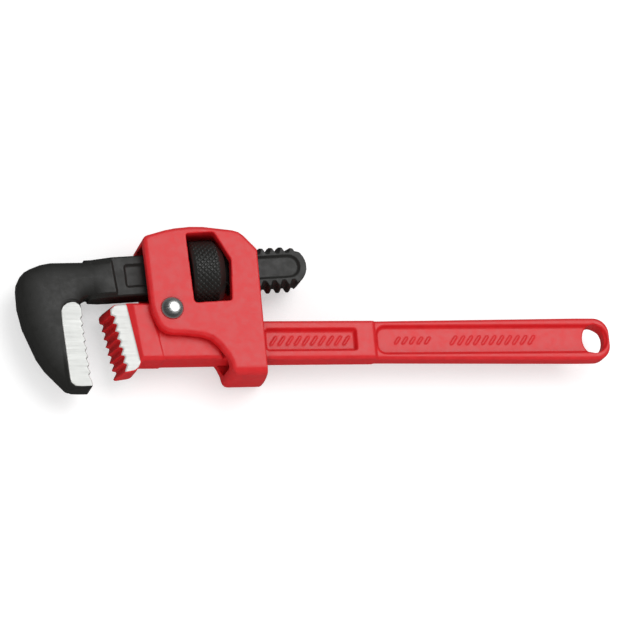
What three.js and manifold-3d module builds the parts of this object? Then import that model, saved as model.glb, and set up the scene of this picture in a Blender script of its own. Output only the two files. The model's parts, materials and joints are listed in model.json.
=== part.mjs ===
// Pipe wrench of the Stillson pattern, 350 mm class, lying on its side.
// While it is modelled the pivot rivet's axis is Z through the origin, X runs along the handle
// towards the hanging eye and Y runs from the handle towards the threaded shank.
// The finished group is moved so that the origin is under the middle of its bounding box.
import * as THREE from "three";
import { mergeVertices } from "three/addons/utils/BufferGeometryUtils.js";
import Module from "manifold-3d";

const wasm = await Module();
wasm.setup();

// Overall sizes, mm.
const HANDLE_REACH = 232.6; // pivot to the far end of the eye
const HOOK_REACH = 75.0; // pivot to the back of the hook jaw
const HOOK_DEPTH = 37.8; // pivot line down to the tip of the hook jaw

// Thread shared by the hook jaw's shank and the nut.
const THREAD_PITCH = 5.08;
const THREAD_CREST_RADIUS = 11.6;
const THREAD_DEPTH = 2.2;
const CREST_FLAT = 0.95;
const FLANK_ANGLE = Math.PI / 6;
const THREAD_CLEARANCE = 0.35;
const THREAD_SIDES = 28;
const LAST_CREST = CREST_FLAT / 2 + THREAD_DEPTH * Math.tan(FLANK_ANGLE); // half its width at the root
const SHANK_THICKNESS = 12.4;
const SHANK_SLOPE = (3.0 * Math.PI) / 180; // the shank's rise inside the frame
const SHANK_CLEAR = 9.1; // pivot up to the underside of the shank
const SHANK_LIFT = SHANK_CLEAR + THREAD_CREST_RADIUS;
const SHANK_END = 73.3;
const SHANK_HEAD_END = -8.0; // where the thread gives way to the plain neck

// Adjusting nut.
const NUT_RADIUS = 17.2;
const NUT_LENGTH = 16.8;
const NUT_MIDDLE = 20.6; // along the shank axis from the pivot
const NUT_NEAR_CHAMFER = 1.4;
const NUT_CHAMFER_SHARE = 0.762; // far chamfer as a share of the nut's wall
const KNURL_DEPTH = 0.55;
const KNURL_COLUMNS = 64;
const KNURL_ROWS = 10;

// Frame, the housing that carries the nut.
const FRAME_LEAN = (0.63 * Math.PI) / 180; // frame against handle as it rests
const PLATE = 5.0;
const FRAME_GAP = 19.0;
const FRAME_ROUND = 2.0;
const WINDOW_END_PLAY = 1.3; // free length in the window at the nut's near end
const WINDOW_FAR_PLAY = 0.4;
const WINDOW_FOOT = 0.8; // the upper window reaches this much lower than the nut needs
const WINDOW_FLARE = 2.8; // and widens this much towards its far shoulder
const NUT_SIDE_PLAY = 0.5;
const NUT_WALL = NUT_RADIUS - THREAD_CREST_RADIUS - THREAD_CLEARANCE;
const NUT_FAR_CHAMFER = NUT_CHAMFER_SHARE * NUT_WALL;
const CEILING_WALL = 3.6;
const FRAME_FRONT = 45.9; // pivot to the edge of the frame on the handle side
const FRAME_DRAFT = 4.2; // that edge stands further out at the lower plate, as forged
const WRAP_FROM = 27.6;
const WRAP_FLOOR = -29.4; // inside of the wrap under the handle
const WRAP_OUTSIDE = -34.2;
const WRAP_BEND = 4.0;
const WRAP_INNER_BEND = 4.5;

// Handle with its forged heel jaw.
const HEAD_SIDE_PLAY = 0.4; // heel head to frame plate
const BODY_STEP = 0.5; // the body inside the frame is this much thinner per side than the head
const SHAFT_THICKNESS = 13.0;
const SHAFT_HEIGHT = 20.2;
const SHAFT_AXIS = -14.1;
const GRIP_THICKNESS = 10.0;
const GRIP_HEIGHT = 22.6;
const GRIP_START = 104.0;
const HEEL_TOP = 4.8; // pivot up to the top of the heel jaw's body
const HEEL_FLOOR = -24.5;
const EYE_HALF_LENGTH = 5.9;
const EYE_HALF_HEIGHT = 7.7;
const EYE_WEB = 2.8; // steel left beyond the hole at the end of the handle
const EYE_SIDE_WEB = 3.5;
const SHAFT_PANEL = 11.8; // height of the sunk panels
const GRIP_PANEL = 15.2;
const PANEL_DEPTH = 2.7;
const PANEL_SLOPE = 1.1;
const FORGED_ROUND = 1.8;

// Jaw teeth.
const TOOTH_PITCH = 4.15;
const HEEL_TOOTH_DEPTH = 2.1;
const HOOK_TOOTH_DEPTH = 1.3;
const HEEL_TEETH = 7;
const HEEL_GROUND_STEP = 1.6;
const TOOTH_CANT = 3.3; // the heel's teeth lie this far askew over its thickness
const HOOK_TEETH = 8;

// Hook jaw head.
const HOOK_THICKNESS = 15.4;
const HOOK_ROUND = 2.4;
const HEAD_STEP = 3.9; // top of the head under the top of the thread
const HOOK_GROUND_STEP = 0.9; // how far the ground band lies under the forged side

// Rivets and springs.
const RIVET_RADIUS = 4.4;
const RIVET_HEAD_RADIUS = 5.8;
const RIVET_HEAD_HEIGHT = 2.6;
const RUNNING_CLEARANCE = 0.3;
const SEAT = 0.04; // air film between pieces that are fastened together
const LEAF_WIDTH = 9.0;
const LEAF_THICKNESS = 0.9;
const LEAF_RIVET_RADIUS = 1.6;
const LEAF_FIXED = -8.4; // its rivet, from the pivot
const LEAF_LENGTH = 15.4;
const LEAF_BEHIND = 2.4; // its end behind the rivet
const LEAF_FLAT = 0.4; // share of its length that lies flat
const LEAF_PLAY = 0.7; // its tip under the shank
const LEAF_RIVET_DEPTH = 4.6;
const LEAF_BORE_DEPTH = 5.0;
const COIL_RADIUS = 3.2;
const COIL_WIRE = 0.55;
const COIL_TURNS = 5;
const COIL_X = 37.0;
const COIL_POCKET_DEPTH = 5.0;
const COIL_SIDE_PLAY = 0.5;
const COIL_SEAT = 0.08;

const FRAME_HALF = FRAME_GAP / 2 + PLATE;
const HEAD_HALF = FRAME_GAP / 2 - HEAD_SIDE_PLAY;
const FAR = 400;

// ---------------------------------------------------------------- helpers

// A closed outline from corners [x, y, radius]; a corner with a radius becomes an arc.
function outline(corners, steps = 5) {
  const points = [];
  corners.forEach(([x, y, radius = 0], i) => {
    const here = new THREE.Vector2(x, y);
    if (radius === 0) {
      points.push(here);
      return;
    }
    const before = corners[(i + corners.length - 1) % corners.length];
    const after = corners[(i + 1) % corners.length];
    const a = new THREE.Vector2(before[0], before[1]).sub(here).normalize();
    const b = new THREE.Vector2(after[0], after[1]).sub(here).normalize();
    const half = Math.acos(THREE.MathUtils.clamp(a.dot(b), -1, 1)) / 2;
    const room = Math.min(
      Math.hypot(before[0] - x, before[1] - y),
      Math.hypot(after[0] - x, after[1] - y),
    );
    const r = Math.min(radius, 0.48 * room * Math.tan(half));
    const centre = a.clone().add(b).normalize().multiplyScalar(r / Math.sin(half)).add(here);
    const start = here.clone().addScaledVector(a, r / Math.tan(half)).sub(centre);
    const end = here.clone().addScaledVector(b, r / Math.tan(half)).sub(centre);
    const from = Math.atan2(start.y, start.x);
    let sweep = Math.atan2(end.y, end.x) - from;
    if (sweep > Math.PI) sweep -= 2 * Math.PI;
    if (sweep < -Math.PI) sweep += 2 * Math.PI;
    const count = Math.max(1, Math.round((steps * Math.abs(sweep)) / (Math.PI / 2)));
    for (let k = 0; k <= count; k += 1) {
      const angle = from + (sweep * k) / count;
      points.push(new THREE.Vector2(centre.x + r * Math.cos(angle), centre.y + r * Math.sin(angle)));
    }
  });
  return points;
}

function circle(x, y, radius, sides = 24) {
  return Array.from({ length: sides }, (_, i) => {
    const angle = (2 * Math.PI * i) / sides;
    return new THREE.Vector2(x + radius * Math.cos(angle), y + radius * Math.sin(angle));
  });
}

function solid(geometry) {
  const bare = new THREE.BufferGeometry();
  bare.setAttribute("position", geometry.getAttribute("position"));
  if (geometry.index) bare.setIndex(geometry.index);
  const merged = mergeVertices(bare, 1e-4);
  return new wasm.Manifold(
    new wasm.Mesh({
      numProp: 3,
      vertProperties: new Float32Array(merged.getAttribute("position").array),
      triVerts: new Uint32Array(merged.index.array),
    }),
  );
}

// A prism between two heights. Its two end edges can be rounded, or cut back by slope at each end.
function prism(points, low, high, { round = 0, slope = round, steps = 3 } = {}) {
  const geometry = new THREE.ExtrudeGeometry(new THREE.Shape(points), {
    depth: high - low - 2 * round,
    bevelEnabled: round > 0,
    bevelThickness: round,
    bevelSize: slope,
    bevelOffset: -slope,
    bevelSegments: steps,
    curveSegments: 1,
  });
  geometry.translate(0, 0, low + round);
  return solid(geometry);
}

const slab = (points, half, options) => prism(points, -half, half, options);

// A slab whose lower side reaches further out along -X, fading from full at x = out to none at x = in.
function cantedSlab(points, half, { reach, out, inner }) {
  const geometry = new THREE.ExtrudeGeometry(new THREE.Shape(points), {
    depth: 2 * half,
    bevelEnabled: false,
    curveSegments: 1,
  });
  geometry.translate(0, 0, -half);
  const at = geometry.getAttribute("position");
  for (let i = 0; i < at.count; i += 1) {
    if (at.getZ(i) < 0) {
      const share = THREE.MathUtils.clamp((inner - at.getX(i)) / (inner - out), 0, 1);
      at.setX(i, at.getX(i) - reach * share);
    }
  }
  return solid(geometry);
}

// A solid between two outlines with as many corners, both running anticlockwise.
function loft(lowPoints, highPoints, low, high) {
  const count = lowPoints.length;
  const vertices = [
    ...lowPoints.flatMap(([x, y]) => [x, y, low]),
    ...highPoints.flatMap(([x, y]) => [x, y, high]),
  ];
  const faces = [];
  for (let i = 0; i < count; i += 1) {
    const next = (i + 1) % count;
    faces.push(i, next, count + next, i, count + next, count + i);
  }
  for (let i = 1; i < count - 1; i += 1) {
    faces.push(0, i + 1, i, count, count + i, count + i + 1);
  }
  return new wasm.Manifold(
    new wasm.Mesh({
      numProp: 3,
      vertProperties: new Float32Array(vertices),
      triVerts: new Uint32Array(faces),
    }),
  );
}

// A pocket floor at depth below a side, with sloping walls, cut from both sides alike.
function pockets(points, side, depth) {
  const walls = { round: depth, slope: PANEL_SLOPE, steps: 1 };
  const upper = prism(points, side - depth, side + 2 * depth, walls);
  const lower = prism(points, -side - 2 * depth, depth - side, walls);
  return upper.add(lower);
}

// A body turned about X from a profile of [x, radius] that starts and ends on the axis.
function turned(profile, sides) {
  const geometry = new THREE.LatheGeometry(
    profile.map(([x, radius]) => new THREE.Vector2(radius, x)),
    sides,
  );
  geometry.rotateZ(-Math.PI / 2);
  return solid(geometry);
}

const BORE_LENGTH = 20.0; // runs out of every piece it is taken from

// A plain rod along X that starts at x = from.
const rod = (from, radius, sides) =>
  turned([[from, 0], [from, radius], [BORE_LENGTH, radius], [BORE_LENGTH, 0]], sides);

// The hole for the leaf spring's rivet, from its foot in the handle upwards.
const leafBore = () =>
  rod(0, LEAF_RIVET_RADIUS + SEAT, 12)
    .rotate([0, 0, 90])
    .translate([LEAF_FIXED, HEEL_TOP - LEAF_BORE_DEPTH, 0]);

// A helical thread about X. Clearance widens it in every direction, as for a tap.
function threadBar(from, to, clearance) {
  const widen = (clearance * (1 - Math.sin(FLANK_ANGLE))) / Math.cos(FLANK_ANGLE);
  const crest = THREAD_CREST_RADIUS + clearance;
  const root = crest - THREAD_DEPTH;
  const flank = THREAD_DEPTH * Math.tan(FLANK_ANGLE);
  const crestHalf = CREST_FLAT / 2 + widen;
  const profile = [
    [-crestHalf - flank, root],
    [-crestHalf, crest],
    [crestHalf, crest],
    [crestHalf + flank, root],
  ];
  const turns = Math.ceil((to - from) / THREAD_PITCH) + 2;
  const first = Math.floor(from / THREAD_PITCH) - 1;
  const rings = turns * profile.length + 1;
  const vertices = [];
  for (let i = 0; i < rings + profile.length; i += 1) {
    const [offset, radius] = profile[i % profile.length];
    const start = (first + Math.floor(i / profile.length)) * THREAD_PITCH + offset;
    for (let j = 0; j < THREAD_SIDES; j += 1) {
      const angle = (2 * Math.PI * j) / THREAD_SIDES;
      vertices.push([
        start + (THREAD_PITCH * j) / THREAD_SIDES,
        radius * Math.cos(angle),
        radius * Math.sin(angle),
      ]);
    }
  }
  const at = (i, j) => (j < THREAD_SIDES ? i * THREAD_SIDES + j : (i + profile.length) * THREAD_SIDES);
  const faces = [];
  for (let i = 0; i < rings - 1; i += 1) {
    for (let j = 0; j < THREAD_SIDES; j += 1) {
      faces.push([at(i, j), at(i, j + 1), at(i + 1, j)]);
      faces.push([at(i + 1, j), at(i, j + 1), at(i + 1, j + 1)]);
    }
  }
  const cap = (ring, flip) => {
    const hub = vertices.length;
    vertices.push([vertices[at(ring, 0)][0] + THREAD_PITCH / 2, 0, 0]);
    const rim = [];
    for (let j = 0; j <= THREAD_SIDES; j += 1) rim.push(at(ring, j));
    for (let k = profile.length - 1; k >= 0; k -= 1) rim.push(at(ring + k, 0));
    for (let k = 0; k < rim.length - 1; k += 1) {
      faces.push(flip ? [hub, rim[k], rim[k + 1]] : [hub, rim[k + 1], rim[k]]);
    }
  };
  cap(0, false);
  cap(rings - 1, true);
  const used = [...new Set(faces.flat())].sort((a, b) => a - b);
  const renumber = new Map(used.map((old, i) => [old, i]));
  return new wasm.Manifold(
    new wasm.Mesh({
      numProp: 3,
      vertProperties: new Float32Array(used.flatMap((i) => vertices[i])),
      triVerts: new Uint32Array(faces.flat().map((i) => renumber.get(i))),
    }),
  );
}

// Height of the top of the thread over the pivot line, at a distance along the handle.
const shankTop = (x) => SHANK_LIFT + THREAD_CREST_RADIUS + x * Math.tan(SHANK_SLOPE);

// Places something built about the shank's own X axis into the frame, and the frame on the pivot.
const onShank = (body) =>
  body.rotate([0, 0, THREE.MathUtils.radToDeg(SHANK_SLOPE)]).translate([0, SHANK_LIFT, 0]);
const onFrame = (body) => body.rotate([0, 0, THREE.MathUtils.radToDeg(FRAME_LEAN)]);

// Saw teeth along a straight line from [x0, y0] to [x1, y1], cut into the side on its left.
function teeth(x0, y0, x1, y1, count, depth, steep) {
  const along = new THREE.Vector2(x1 - x0, y1 - y0).normalize();
  const inward = new THREE.Vector2(-along.y, along.x);
  const length = Math.hypot(x1 - x0, y1 - y0);
  const points = [];
  for (let i = 0; i < count; i += 1) {
    const crest = (length * i) / count;
    const root = (length * (i + steep)) / count;
    points.push([x0 + along.x * crest, y0 + along.y * crest]);
    points.push([
      x0 + along.x * root + inward.x * depth,
      y0 + along.y * root + inward.y * depth,
    ]);
  }
  points.push([x1, y1]);
  return points;
}

// ---------------------------------------------------------------- handle and heel jaw

function makeHandle() {
  const top = SHAFT_AXIS + SHAFT_HEIGHT / 2;
  const bottom = SHAFT_AXIS - SHAFT_HEIGHT / 2;
  const eyeX = HANDLE_REACH - EYE_HALF_LENGTH - EYE_WEB;
  const eyeHalf = EYE_HALF_HEIGHT + EYE_SIDE_WEB;
  const heelTop = [-29.6, -1.6];
  const heelToe = [-24.4, heelTop[1] - HEEL_TEETH * TOOTH_PITCH * Math.cos(0.184)];
  const nutFloor = SHANK_LIFT - NUT_RADIUS - 4.4;
  const body = slab(
    outline([
      [-18.0, HEEL_TOP, 2.5],
      [7.5, HEEL_TOP, 3],
      [12.0, nutFloor, 4],
      [19.0, nutFloor, 4],
      [WRAP_FROM - 2.0, top, 0],
      [WRAP_FROM - 2.0, bottom, 0],
      [WRAP_FROM - 8.0, bottom, 4],
      [-14.0, HEEL_FLOOR, 2.5],
    ]),
    HEAD_HALF - BODY_STEP,
    { round: FORGED_ROUND },
  );
  const band = HEAD_HALF - HEEL_GROUND_STEP;
  const headFoot = [
    [-4.2, HEEL_FLOOR - 0.3],
    [-9.2, HEEL_TOP],
    [-21.6, HEEL_TOP],
    [-16.4, HEEL_FLOOR - 0.3],
  ];
  const headFace = [
    [-5.0, HEEL_FLOOR + 1.3],
    [-9.7, HEEL_TOP - 1.2],
    [-18.4, HEEL_TOP - 1.2],
    [-15.2, HEEL_FLOOR + 1.3],
  ];
  const shoulder = loft(headFoot, headFace, band, HEAD_HALF);
  const head = slab(outline(headFoot), band).add(shoulder).add(shoulder.mirror([0, 0, 1]));
  const jaw = cantedSlab(
    outline([
      ...teeth(heelTop[0], heelTop[1], heelToe[0], heelToe[1], HEEL_TEETH, HEEL_TOOTH_DEPTH, 0.2),
      [heelToe[0] + 0.4, heelToe[1] - 1.0, 0.4],
      [-18.6, -30.0, 2.5],
      [-15.6, -26.0, 2],
      [-14.5, -20.0, 0],
      [-17.0, HEEL_TOP, 0],
      [-27.6, 4.0, 1.5],
      [-29.8, 1.6, 1.2],
    ], 4),
    band,
    { reach: TOOTH_CANT, out: heelToe[0], inner: -17.0 },
  );
  const shaft = slab(
    outline([
      [24.0, top, 0],
      [GRIP_START + 2.0, top, 0],
      [GRIP_START + 2.0, bottom, 0],
      [24.0, bottom, 0],
    ]),
    SHAFT_THICKNESS / 2,
    { round: FORGED_ROUND },
  );
  const grip = slab(
    outline([
      [GRIP_START - 6.0, SHAFT_AXIS + SHAFT_HEIGHT / 2, 0],
      [eyeX - 8.0, SHAFT_AXIS + GRIP_HEIGHT / 2, 0],
      [HANDLE_REACH, SHAFT_AXIS + eyeHalf, eyeHalf],
      [HANDLE_REACH, SHAFT_AXIS - eyeHalf, eyeHalf],
      [eyeX - 8.0, SHAFT_AXIS - GRIP_HEIGHT / 2, 0],
      [GRIP_START - 6.0, SHAFT_AXIS - SHAFT_HEIGHT / 2, 0],
    ], 8),
    GRIP_THICKNESS / 2,
    { round: FORGED_ROUND },
  );
  const shaftPanel = pockets(
    outline([
      [48.0, SHAFT_AXIS + SHAFT_PANEL / 2, 2],
      [96.0, SHAFT_AXIS + SHAFT_PANEL / 2, 1.5],
      [96.0, SHAFT_AXIS - SHAFT_PANEL / 2, 1.5],
      [48.0, SHAFT_AXIS - SHAFT_PANEL / 2, 2],
    ], 3),
    SHAFT_THICKNESS / 2,
    PANEL_DEPTH,
  );
  const gripPanel = pockets(
    outline([
      [GRIP_START + 2.4, SHAFT_AXIS + GRIP_PANEL / 2, 5],
      [eyeX + GRIP_PANEL / 2, SHAFT_AXIS + GRIP_PANEL / 2, GRIP_PANEL / 2],
      [eyeX + GRIP_PANEL / 2, SHAFT_AXIS - GRIP_PANEL / 2, GRIP_PANEL / 2],
      [GRIP_START + 2.4, SHAFT_AXIS - GRIP_PANEL / 2, 5],
    ], 6),
    GRIP_THICKNESS / 2,
    PANEL_DEPTH - 0.5,
  );
  const eye = slab(circle(0, 0, 1, 36), FAR)
    .scale([EYE_HALF_LENGTH, EYE_HALF_HEIGHT, 1])
    .translate([eyeX, SHAFT_AXIS, 0]);
  const springPocket = rod(0, COIL_RADIUS + COIL_WIRE + COIL_SIDE_PLAY, 20)
    .rotate([0, 0, -90])
    .translate([COIL_X, bottom + COIL_POCKET_DEPTH, 0]);
  const pivotBore = slab(circle(0, 0, RIVET_RADIUS + RUNNING_CLEARANCE), FAR);
  return body
    .add(head)
    .add(jaw)
    .add(shaft)
    .add(grip)
    .subtract(shaftPanel)
    .subtract(gripPanel)
    .subtract(eye)
    .subtract(pivotBore)
    .subtract(springPocket)
    .subtract(leafBore());
}

// ---------------------------------------------------------------- frame

const nutFrom = NUT_MIDDLE - NUT_LENGTH / 2;
const nutTo = NUT_MIDDLE + NUT_LENGTH / 2;
const WINDOW_FROM = nutFrom - WINDOW_END_PLAY;
const WINDOW_TO = nutTo + WINDOW_FAR_PLAY;

// The channel between the plates runs out past both ends of the frame.
const CHANNEL_FROM = -30.0;
const CHANNEL_TO = 60.0;

function makeFrame() {
  const ceiling = NUT_RADIUS + NUT_SIDE_PLAY; // above the shank axis
  const roof = SHANK_LIFT + ceiling + CEILING_WALL + SHANK_SLOPE * NUT_MIDDLE;
  const front = FRAME_FRONT + FRAME_DRAFT;
  const plates = slab(
    outline([
      [-11.9, roof - 5.1, 3],
      [2.2, roof - 1.1, 30],
      [16.0, roof + 0.2, 30],
      [37.6, roof - 2.5, 9],
      [FRAME_FRONT, roof - 11.9, 6],
      [front, roof - 18.0, 0],
      [front, WRAP_OUTSIDE, 4],
      [WRAP_FROM + 1.2, WRAP_OUTSIDE, 4],
      [WRAP_FROM - 0.4, -26.0, 10],
      [19.6, -14.8, 12],
      [6.0, -12.9, 10],
      [-6.2, -12.4, 9],
      [-10.4, 0.0, 12],
    ], 4),
    FRAME_HALF,
    { round: FRAME_ROUND },
  );
  const channel = slab(
    outline([
      [CHANNEL_FROM, shankTop(CHANNEL_FROM), 0],
      [WINDOW_FROM - 3.0, roof - CEILING_WALL, 0],
      [WINDOW_TO - 3.0, roof - CEILING_WALL, 0],
      [CHANNEL_TO, shankTop(CHANNEL_TO) + RUNNING_CLEARANCE, 0],
      [CHANNEL_TO, WRAP_FLOOR, 0],
      [WRAP_FROM - WRAP_BEND, WRAP_FLOOR, 0],
      [WRAP_FROM - WRAP_BEND, -FAR, 0],
      [CHANNEL_FROM, -FAR, 0],
    ]),
    FRAME_GAP / 2,
  ).intersect(
    slab(
      outline([
        [WRAP_FLOOR, -FRAME_GAP / 2, WRAP_INNER_BEND],
        [WRAP_FLOOR, FRAME_GAP / 2, WRAP_INNER_BEND],
        [FAR, FRAME_GAP / 2, 0],
        [FAR, -FRAME_GAP / 2, 0],
      ]),
      FAR,
    ).rotate([90, 0, 90]),
  );
  const drafted = slab(
    outline([
      [-FAR, -FRAME_HALF, 0],
      [front, -FRAME_HALF, WRAP_BEND],
      [FRAME_FRONT, FRAME_HALF, 1],
      [-FAR, FRAME_HALF, 0],
    ]),
    FAR,
  ).rotate([90, 0, 0]);
  const section = slab(
    outline([
      [WRAP_OUTSIDE, -FRAME_HALF, WRAP_BEND],
      [WRAP_OUTSIDE, FRAME_HALF, WRAP_BEND],
      [roof + 10.0, FRAME_HALF, 0],
      [roof + 10.0, -FRAME_HALF, 0],
    ]),
    FAR,
  ).rotate([90, 0, 90]);
  const low = -ceiling;
  const cornered = prism(
    outline([
      [WINDOW_FROM - 0.3, low - WINDOW_FOOT, 1.5],
      [WINDOW_TO + 0.5, low - WINDOW_FOOT, 0.8],
      [WINDOW_TO + WINDOW_FLARE, 2.8, 1],
      [WINDOW_TO - 4.2, ceiling, 1],
      [WINDOW_FROM, ceiling, 1],
    ], 2),
    0,
    FAR,
  );
  const square = prism(
    outline([
      [WINDOW_FROM, low, 1.5],
      [WINDOW_TO, low, 1.5],
      [WINDOW_TO, ceiling, 1],
      [WINDOW_FROM, ceiling, 1],
    ], 2),
    -FAR,
    0,
  );
  const nutRoom = nutBlank(NUT_SIDE_PLAY);
  const rivetBore = slab(circle(0, 0, RIVET_RADIUS + SEAT), FAR);
  return plates
    .intersect(section)
    .intersect(drafted)
    .subtract(channel)
    .subtract(onShank(cornered.add(square).add(nutRoom)))
    .subtract(rivetBore);
}

// ---------------------------------------------------------------- nut

// The nut's smooth envelope about the shank axis, grown by a clearance.
function nutBlank(grow) {
  const radius = NUT_RADIUS + grow;
  return turned(
    [
      [nutFrom - grow, 0],
      [nutFrom - grow, radius - NUT_NEAR_CHAMFER],
      [nutFrom - grow + NUT_NEAR_CHAMFER, radius],
      [nutTo + grow - NUT_FAR_CHAMFER, radius],
      [nutTo + grow, radius - NUT_FAR_CHAMFER],
      [nutTo + grow, 0],
    ],
    KNURL_COLUMNS,
  );
}

// Diamond knurling: a net of high and low points round the barrel, closed by its chamfered ends.
function makeNut() {
  const barrelFrom = nutFrom + NUT_NEAR_CHAMFER;
  const barrelTo = nutTo - NUT_FAR_CHAMFER;
  const rings = [];
  const ring = (x, radiusAt) =>
    rings.push(
      Array.from({ length: KNURL_COLUMNS }, (_, j) => {
        const angle = (2 * Math.PI * j) / KNURL_COLUMNS;
        const radius = radiusAt(j);
        return [x, radius * Math.cos(angle), radius * Math.sin(angle)];
      }),
    );
  ring(nutFrom, () => NUT_RADIUS - NUT_NEAR_CHAMFER);
  for (let i = 0; i <= KNURL_ROWS; i += 1) {
    const x = barrelFrom + ((barrelTo - barrelFrom) * i) / KNURL_ROWS;
    ring(x, (j) => NUT_RADIUS - ((i + j) % 2 === 0 ? 0 : KNURL_DEPTH));
  }
  ring(nutTo, () => NUT_RADIUS - NUT_FAR_CHAMFER);
  const vertices = rings.flat();
  const faces = [];
  for (let i = 0; i < rings.length - 1; i += 1) {
    for (let j = 0; j < KNURL_COLUMNS; j += 1) {
      const next = (j + 1) % KNURL_COLUMNS;
      const [a, b] = [i * KNURL_COLUMNS + j, i * KNURL_COLUMNS + next];
      const [c, d] = [a + KNURL_COLUMNS, b + KNURL_COLUMNS];
      const lowFirst = (i + j) % 2 === 0;
      faces.push(...(lowFirst ? [a, b, d, a, d, c] : [a, b, c, b, d, c]));
    }
  }
  const last = rings.length - 1;
  [0, last].forEach((level) => {
    const hub = vertices.length;
    vertices.push([rings[level][0][0], 0, 0]);
    for (let j = 0; j < KNURL_COLUMNS; j += 1) {
      const a = level * KNURL_COLUMNS + j;
      const b = level * KNURL_COLUMNS + ((j + 1) % KNURL_COLUMNS);
      faces.push(...(level === 0 ? [hub, b, a] : [hub, a, b]));
    }
  });
  const blank = new wasm.Manifold(
    new wasm.Mesh({
      numProp: 3,
      vertProperties: new Float32Array(vertices.flat()),
      triVerts: new Uint32Array(faces),
    }),
  );
  return onShank(blank.subtract(threadBar(nutFrom - 8, nutTo + 8, THREAD_CLEARANCE)));
}

// ---------------------------------------------------------------- hook jaw

function makeHook() {
  const thread = threadBar(SHANK_HEAD_END, SHANK_END, 0);
  const endRadius = THREAD_CREST_RADIUS - THREAD_DEPTH + 0.7;
  const sweep = Math.acos(LAST_CREST / endRadius);
  const roundEnd = Array.from({ length: 13 }, (_, i) => {
    const angle = sweep * (i / 6 - 1);
    return [SHANK_END - endRadius * (1 - Math.cos(angle)), endRadius * Math.sin(angle)];
  });
  const blade = slab(
    outline([
      [SHANK_HEAD_END, -THREAD_CREST_RADIUS - 1, 0],
      [roundEnd[0][0], -THREAD_CREST_RADIUS - 1, 0],
      ...roundEnd,
      [roundEnd[0][0], THREAD_CREST_RADIUS + 1, 0],
      [SHANK_HEAD_END, THREAD_CREST_RADIUS + 1, 0],
    ]),
    SHANK_THICKNESS / 2,
  );
  const plainHalf = THREAD_CREST_RADIUS - THREAD_DEPTH / 2;
  const plain = slab(
    outline([
      [-40.0, -plainHalf, 0],
      [SHANK_HEAD_END + 2, -plainHalf, 0],
      [SHANK_HEAD_END + 2, plainHalf, 0],
      [-40.0, plainHalf, 0],
    ]),
    SHANK_THICKNESS / 2,
    { round: 0.8, steps: 1 },
  );
  const panelHalf = 6.1;
  const shankPanel = pockets(
    outline([
      [-21.0, -panelHalf, 1.6],
      [SHANK_END - 3.4, -panelHalf, panelHalf],
      [SHANK_END - 3.4, panelHalf, panelHalf],
      [-21.0, panelHalf, 1.6],
    ], 4),
    SHANK_THICKNESS / 2,
    1.0,
  );
  const back = -HOOK_REACH;
  const tip = -HOOK_DEPTH;
  const top = SHANK_LIFT + THREAD_CREST_RADIUS - HEAD_STEP;
  const mouthTop = [-43.6, -1.0];
  const mouthToe = [-41.2, mouthTop[1] - HOOK_TEETH * TOOTH_PITCH];
  const head = slab(
    outline([
      [-27.0, top, 1],
      [-60.0, top - 0.6, 14],
      [back, 22.0, 14],
      [back + 0.4, 0.0, 30],
      [-65.4, -24.0, 20],
      [-53.0, tip, 2.5],
      [-40.8, tip, 3.2],
      ...teeth(
        mouthToe[0], mouthToe[1], mouthTop[0], mouthTop[1], HOOK_TEETH, HOOK_TOOTH_DEPTH, 0.8,
      ),
      [-44.2, 9.4, 5.0],
      [-25.0, 10.0, 1],
    ], 5),
    HOOK_THICKNESS / 2,
    { round: 0.9, steps: 1 },
  );
  const softened = slab(
    outline([
      [10.0, top, 0],
      [-60.0, top - 0.6, 14],
      [back, 22.0, 14],
      [back + 0.4, 0.0, 30],
      [-65.4, -24.0, 20],
      [-53.0, tip, 3.4],
      [10.0, tip, 0],
    ], 5),
    HOOK_THICKNESS / 2,
    { round: HOOK_ROUND, steps: 3 },
  );
  const bandOutline = outline([
    [-54.2, 6.6, 5],
    [-54.2, -4.0, 10],
    [-52.0, -37.2, 3],
    [-30.0, -37.2, 0],
    [-30.0, 2.0, 0],
    [-44.0, 6.6, 4],
  ], 4);
  const bandSide = HOOK_THICKNESS / 2 - HOOK_GROUND_STEP;
  const bands = prism(bandOutline, bandSide, FAR).add(prism(bandOutline, -FAR, -bandSide));
  const shank = onShank(thread.intersect(blade).add(plain).subtract(shankPanel));
  return head.intersect(softened).subtract(bands).add(shank);
}

// ---------------------------------------------------------------- rivets and springs

function makeRivet() {
  const dome = (z) => {
    const points = [];
    for (let i = 0; i <= 5; i += 1) {
      const angle = (Math.PI / 2) * (i / 5);
      points.push([z + RIVET_HEAD_HEIGHT * Math.sin(angle), RIVET_HEAD_RADIUS * Math.cos(angle)]);
    }
    return points;
  };
  const seat = FRAME_HALF + SEAT;
  const upper = dome(seat);
  const lower = dome(seat)
    .map(([x, radius]) => [-x, radius])
    .reverse();
  return turned(
    [...lower, [-seat, RIVET_RADIUS], [seat, RIVET_RADIUS], ...upper].map(([x, radius]) => [
      x,
      radius < 1e-9 ? 0 : radius,
    ]),
    24,
  ).rotate([0, -90, 0]);
}

function leafPath() {
  const rise = SHANK_CLEAR - HEEL_TOP - LEAF_THICKNESS - LEAF_PLAY;
  const points = [];
  for (let i = 0; i <= 10; i += 1) {
    const t = i / 10;
    const bent = Math.max(0, t - LEAF_FLAT) / (1 - LEAF_FLAT);
    points.push([LEAF_FIXED - LEAF_BEHIND + LEAF_LENGTH * t, HEEL_TOP + SEAT + rise * bent ** 1.5]);
  }
  return points;
}

function makeLeaf() {
  const path = leafPath();
  const upper = path.map(([x, y]) => [x, y + LEAF_THICKNESS]).reverse();
  const strip = slab(
    [...path, ...upper].map(([x, y]) => new THREE.Vector2(x, y)),
    LEAF_WIDTH / 2,
  );
  return strip.subtract(leafBore());
}

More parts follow.
